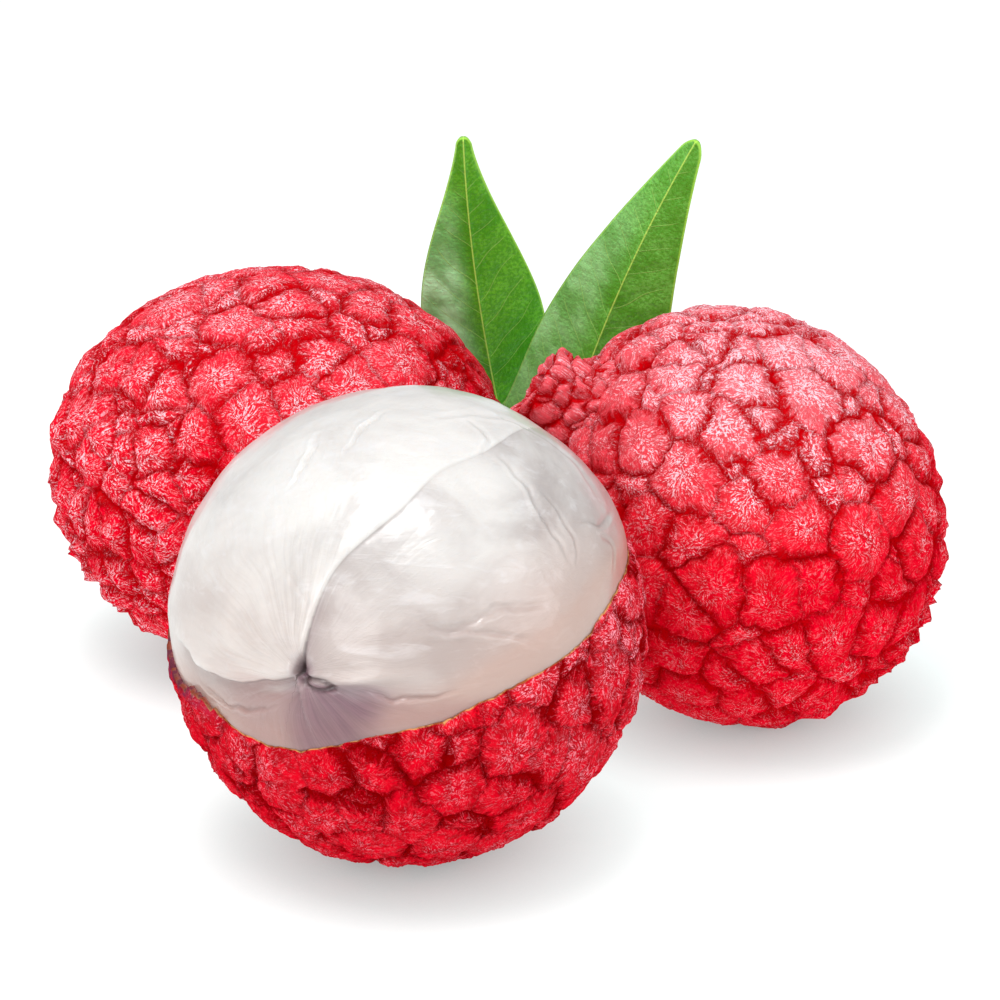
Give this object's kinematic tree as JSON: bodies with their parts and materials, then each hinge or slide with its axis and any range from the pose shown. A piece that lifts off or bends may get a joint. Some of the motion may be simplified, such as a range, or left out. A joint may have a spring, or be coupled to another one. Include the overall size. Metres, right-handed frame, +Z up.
{
  "type": "bunch of lychees",
  "caption": "Ripe red lychees with bumpy rinds, one half peeled to show its white flesh, with green leaves leaning behind them; they lie on a flat surface.",
  "frame": {"origin": "on the surface that the fruits lie on, below the middle of the bunch's box", "axes": "+Z up from the surface, -Y towards the half-peeled fruit at the front of the bunch, +X to the right as seen from the front"},
  "size_m": [0.0732, 0.0716, 0.0456],
  "materials": {
    "lychee_rind": "crimson rind of domed scales with pale pink fibres and dark red grooves, matt with a slight sheen",
    "lychee_flesh": "translucent milky white flesh, moist and softly glossy, lavender grey at the pit",
    "lychee_leaf": "mid green leaf with a waxy sheen, a yellow-green midrib and edge and fine looping veins"
  },
  "bodies": {
    "root": {"lychee_left": "lychee_rind", "lychee_right": "lychee_rind", "peeled_lychee_rind": "lychee_rind", "peeled_lychee_flesh": "lychee_flesh", "leaf_left": "lychee_leaf", "leaf_right": "lychee_leaf"}
  },
  "joints": []
}
